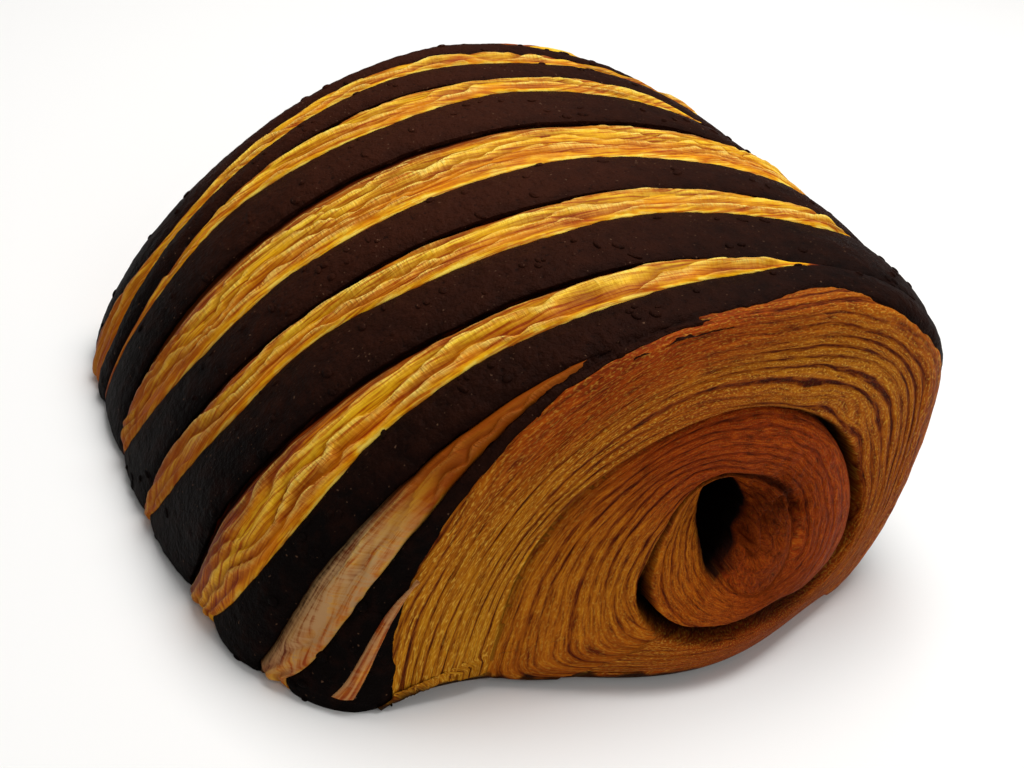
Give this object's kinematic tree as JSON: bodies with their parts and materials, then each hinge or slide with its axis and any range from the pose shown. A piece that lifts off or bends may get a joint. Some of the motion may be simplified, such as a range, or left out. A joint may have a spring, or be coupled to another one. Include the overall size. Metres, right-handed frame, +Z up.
{
  "type": "pain au chocolat",
  "caption": "Plump laminated pastry roll with dark cocoa-dough bands across its crown, a spiral of layers at each end and a flat underside.",
  "frame": {"origin": "middle of the flat underside, under the middle of the box round the pastry", "axes": "+Z up; the roll's axis lies along Y, with the end that the picture shows at -Y; X across the roll, with the flank that flares to its foot at -X"},
  "size_m": [0.1118, 0.1198, 0.0497],
  "materials": {
    "baked_dough": "golden-brown laminated crust, satin",
    "cocoa_dough": "dark cocoa crust, matte with fine pits"
  },
  "bodies": {
    "root": {"pastry_roll": "baked_dough", "cocoa_band_1": "cocoa_dough", "cocoa_band_2": "cocoa_dough", "cocoa_band_3": "cocoa_dough", "cocoa_band_4": "cocoa_dough", "cocoa_band_5": "cocoa_dough", "cocoa_band_6": "cocoa_dough", "cocoa_band_7": "cocoa_dough"}
  },
  "joints": []
}
